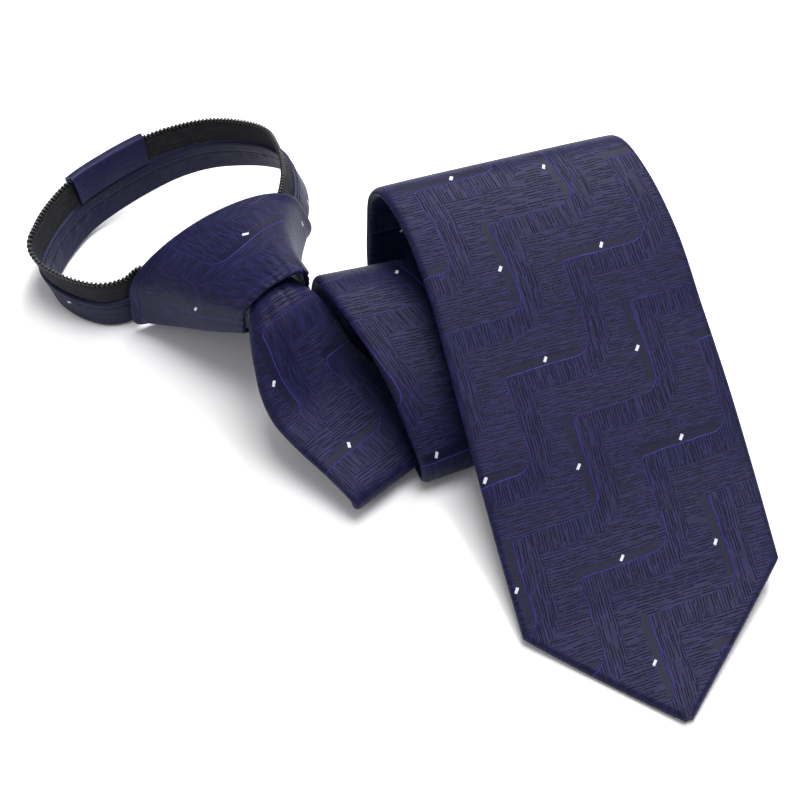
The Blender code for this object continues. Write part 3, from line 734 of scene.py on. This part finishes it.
# zip tapes with a thicker woven edge where the coil is sewn on and a thin core that runs inside
# the coil, and the coils themselves
tape = {"step": 0.0009, "core": 0.0011, "coreNarrow": 0.62, "cord": 0.00012, "cordLow": 0.0171,
        "wave": 0.00008}
coil = {"pitch": 0.00127, "wire": 0.00034, "sway": 0.00052, "rise": 0.00036, "perTurn": 12, "sides": 7,
        "head": 0.35}
tapeLow = band["strapHeight"] + band["gap"]
tapeHigh = tapeLow + band["tapeHeight"]
for hand, span in (("left", band["leftSpan"]), ("right", band["rightSpan"])):
    s = bandCuts(span, tape["step"])
    ringX, ringY = roundRing(band["tapeThickness"] / 2, tapeLow, tapeHigh + tape["core"], 0.0003, 26, 3)
    ringX = ringX * (1 - tape["coreNarrow"] * np.clip((ringY - tapeHigh) / 0.0001, 0, 1))
    x = np.repeat(ringX[None], len(s), 0)
    y = np.repeat(ringY[None], len(s), 0)
    x = x + np.sign(ringX) * tape["cord"] * (y > tape["cordLow"]) * (y < tapeHigh)
    x = x + tape["wave"] * np.sin(s / 0.0052)[:, None]
    piece = buildPiece("zip_tape_" + hand + "_weave", bandPoints(s, x, y), *bandCloth(s, ringX, ringY),
                       facingPairs(len(ringX), 0), sharp=70)
    finishPiece(piece, tapeWeave, "zip_tape", "zip_tape_" + hand)

    # coil: the wire's middle goes round an oval once each pitch, and swells at the top of each turn
    start, end = bandCuts(span, tape["step"])[[0, -1]]
    turns = int((end - start - 0.002) / coil["pitch"])
    phase = np.linspace(0, turns, turns * coil["perTurn"] + 1)
    s = start + 0.001 + phase * coil["pitch"]
    swing = 2 * np.pi * phase
    centre = tapeHigh + band["gap"] + band["toothHeight"] / 2 - 0.0001
    wireX, wireY = coil["sway"] * np.cos(swing), centre + coil["rise"] * np.sin(swing)
    middle = bandPoints(s, wireX[:, None], wireY[:, None])[:, 0]
    ahead = unit(np.gradient(middle, axis=0))
    _, flat, rise = bandFrame(s)
    first = unit(flat - (flat * ahead).sum(1, keepdims=True) * ahead)
    second = np.cross(ahead, first)
    size = coil["wire"] * (1 + coil["head"] * np.clip(np.sin(swing), 0, 1) ** 3)
    turn = np.linspace(0, 2 * np.pi, coil["sides"], endpoint=False)
    points = (middle[:, None] + size[:, None, None] * (np.cos(turn)[None, :, None] * first[:, None]
                                                       + np.sin(turn)[None, :, None] * second[:, None]))
    across = np.repeat(np.linspace(0, 1, coil["sides"] + 1)[None], len(s), 0)
    along = np.repeat(s[:, None] * 1000, coil["sides"] + 1, 1)
    pairs = [(0, 0), (1, 6), (2, 5), (3, 4)]
    piece = buildPiece("zip_coil_" + hand, points, across, along, pairs, sharp=80)
    finishPiece(piece, nylon, "zip_teeth", "zip_teeth_" + hand)

# nape sleeve: a ribbon folded over the top of both tapes, slightly puffed along its middle
sleeve = {"step": 0.0006, "puff": 0.00025, "hem": 0.00018, "hemReach": 0.0012, "wave": 0.00008}
s = bandCuts(band["sleeveSpan"], sleeve["step"])
inner = band["toothThickness"] / 2 + band["gap"]
roof = tapeHigh + band["gap"] + band["toothHeight"] + band["gap"]
outer = inner + band["sleeveWall"]
turn = np.linspace(0, np.pi, 17)
up = np.linspace(tapeLow, roof - inner * 0.6, 22)
bend = np.stack([np.cos(turn) * outer,
                 roof - inner * 0.6 + np.sin(turn) * (inner * 0.6 + band["sleeveWall"])], -1)
outside = np.vstack([np.stack([np.full(22, outer), up], -1)[:-1], bend,
                     np.stack([np.full(22, -outer), up[::-1]], -1)[1:]])
bend = np.stack([np.cos(turn) * inner, roof - inner * 0.6 + np.sin(turn) * inner * 0.6], -1)
inside = np.vstack([np.stack([np.full(22, inner), up], -1)[:-1], bend,
                    np.stack([np.full(22, -inner), up[::-1]], -1)[1:]])
ring = np.vstack([outside, inside[::-1]])
x = np.repeat(ring[None, :, 0], len(s), 0)
y = np.repeat(ring[None, :, 1], len(s), 0)
ends = bell(s, s[0], sleeve["hemReach"]) + bell(s, s[-1], sleeve["hemReach"])
outerShare = np.concatenate([np.ones(len(outside)), np.zeros(len(inside))])
swell = sleeve["puff"] * np.sin(np.pi * (s - s[0]) / (s[-1] - s[0])) + sleeve["hem"] * ends
swell = swell + sleeve["wave"] * np.sin(s / 0.0017)
upward = np.clip((y - tapeLow) / (roof - tapeLow), 0, 1)
x = x + np.sign(x) * outerShare * swell[:, None] * np.sin(np.pi * upward)
count = len(outside)
sleevePiece = buildPiece("nape_sleeve_ribbon", bandPoints(s, x, y), *bandCloth(s, ring[:, 0], ring[:, 1]),
                         [(k, 2 * count - 1 - k) for k in range(count)], sharp=60)
finishPiece(sleevePiece, sleeveCloth, "strap_cloth", "nape_sleeve")
# floor, light and camera
studio = {"floor": "#f7f7f8", "floorSize": 3.0, "floorDrop": 0.0002, "worldLight": 0.36}
floorMesh = bpy.data.meshes.new("floor")
reach = studio["floorSize"]
floorMesh.from_pydata([(-reach, -reach, 0), (reach, -reach, 0), (reach, reach, 0), (-reach, reach, 0)],
                      [], [(0, 1, 2, 3)])
floor = bpy.data.objects.new("floor", floorMesh)
floor.location.z = -studio["floorDrop"]
bpy.context.scene.collection.objects.link(floor)
floorPaper = newMaterial("matt_paper_sweep", {
    "Base Color": hexColour(studio["floor"]), "Roughness": 0.9, "Specular IOR Level": 0.1})[0]
floorMesh.materials.append(floorPaper)

lights = (  # name, place, aim, size, watts
    ("key_softbox", (0.30, 0.50, 0.80), (-0.02, 0.0, 0.0), 0.40, 11.5),
    ("fill_softbox", (-0.75, -0.55, 0.75), (-0.02, 0.0, 0.0), 0.90, 2.0),
    ("top_softbox", (0.10, -0.05, 1.10), (-0.02, 0.0, 0.0), 0.60, 10.5),
)
for name, spot, aim, size, power in lights:
    data = bpy.data.lights.new(name, "AREA")
    data.shape, data.size, data.energy = "SQUARE", size, power
    lamp = bpy.data.objects.new(name, data)
    spot, aim = np.array(spot), np.array(aim)
    back = unit(spot - aim)
    right = unit(np.cross([0.0, 1.0, 0.001], back))
    lamp.matrix_world = Matrix([[*row, p] for row, p in zip(
        np.stack([right, np.cross(back, right), back], 1), spot)] + [[0, 0, 0, 1]])
    bpy.context.scene.collection.objects.link(lamp)

world = bpy.data.worlds.new("studio")
bpy.context.scene.world = world
world.use_nodes = True
sky = world.node_tree.nodes["Background"]
sky.inputs["Color"].default_value = (1, 1, 1, 1)
sky.inputs["Strength"].default_value = studio["worldLight"]
bpy.context.scene.view_settings.view_transform = "Standard"

view = {"right": (0.96126, -0.27564, 0.0), "up": (0.21115, 0.73636, 0.64279),
        "back": (-0.17718, -0.61789, 0.76604), "location": (-0.14025, -0.38507, 0.47495), "lens": 90}
lens = bpy.data.cameras.new("camera")
lens.lens, lens.sensor_width = view["lens"], 36
camera = bpy.data.objects.new("camera", lens)
camera.matrix_world = Matrix([[*row, p] for row, p in zip(
    np.stack([view["right"], view["up"], view["back"]], 1), view["location"])] + [[0, 0, 0, 1]])
bpy.context.scene.collection.objects.link(camera)
bpy.context.scene.camera = camera
print("stage done")
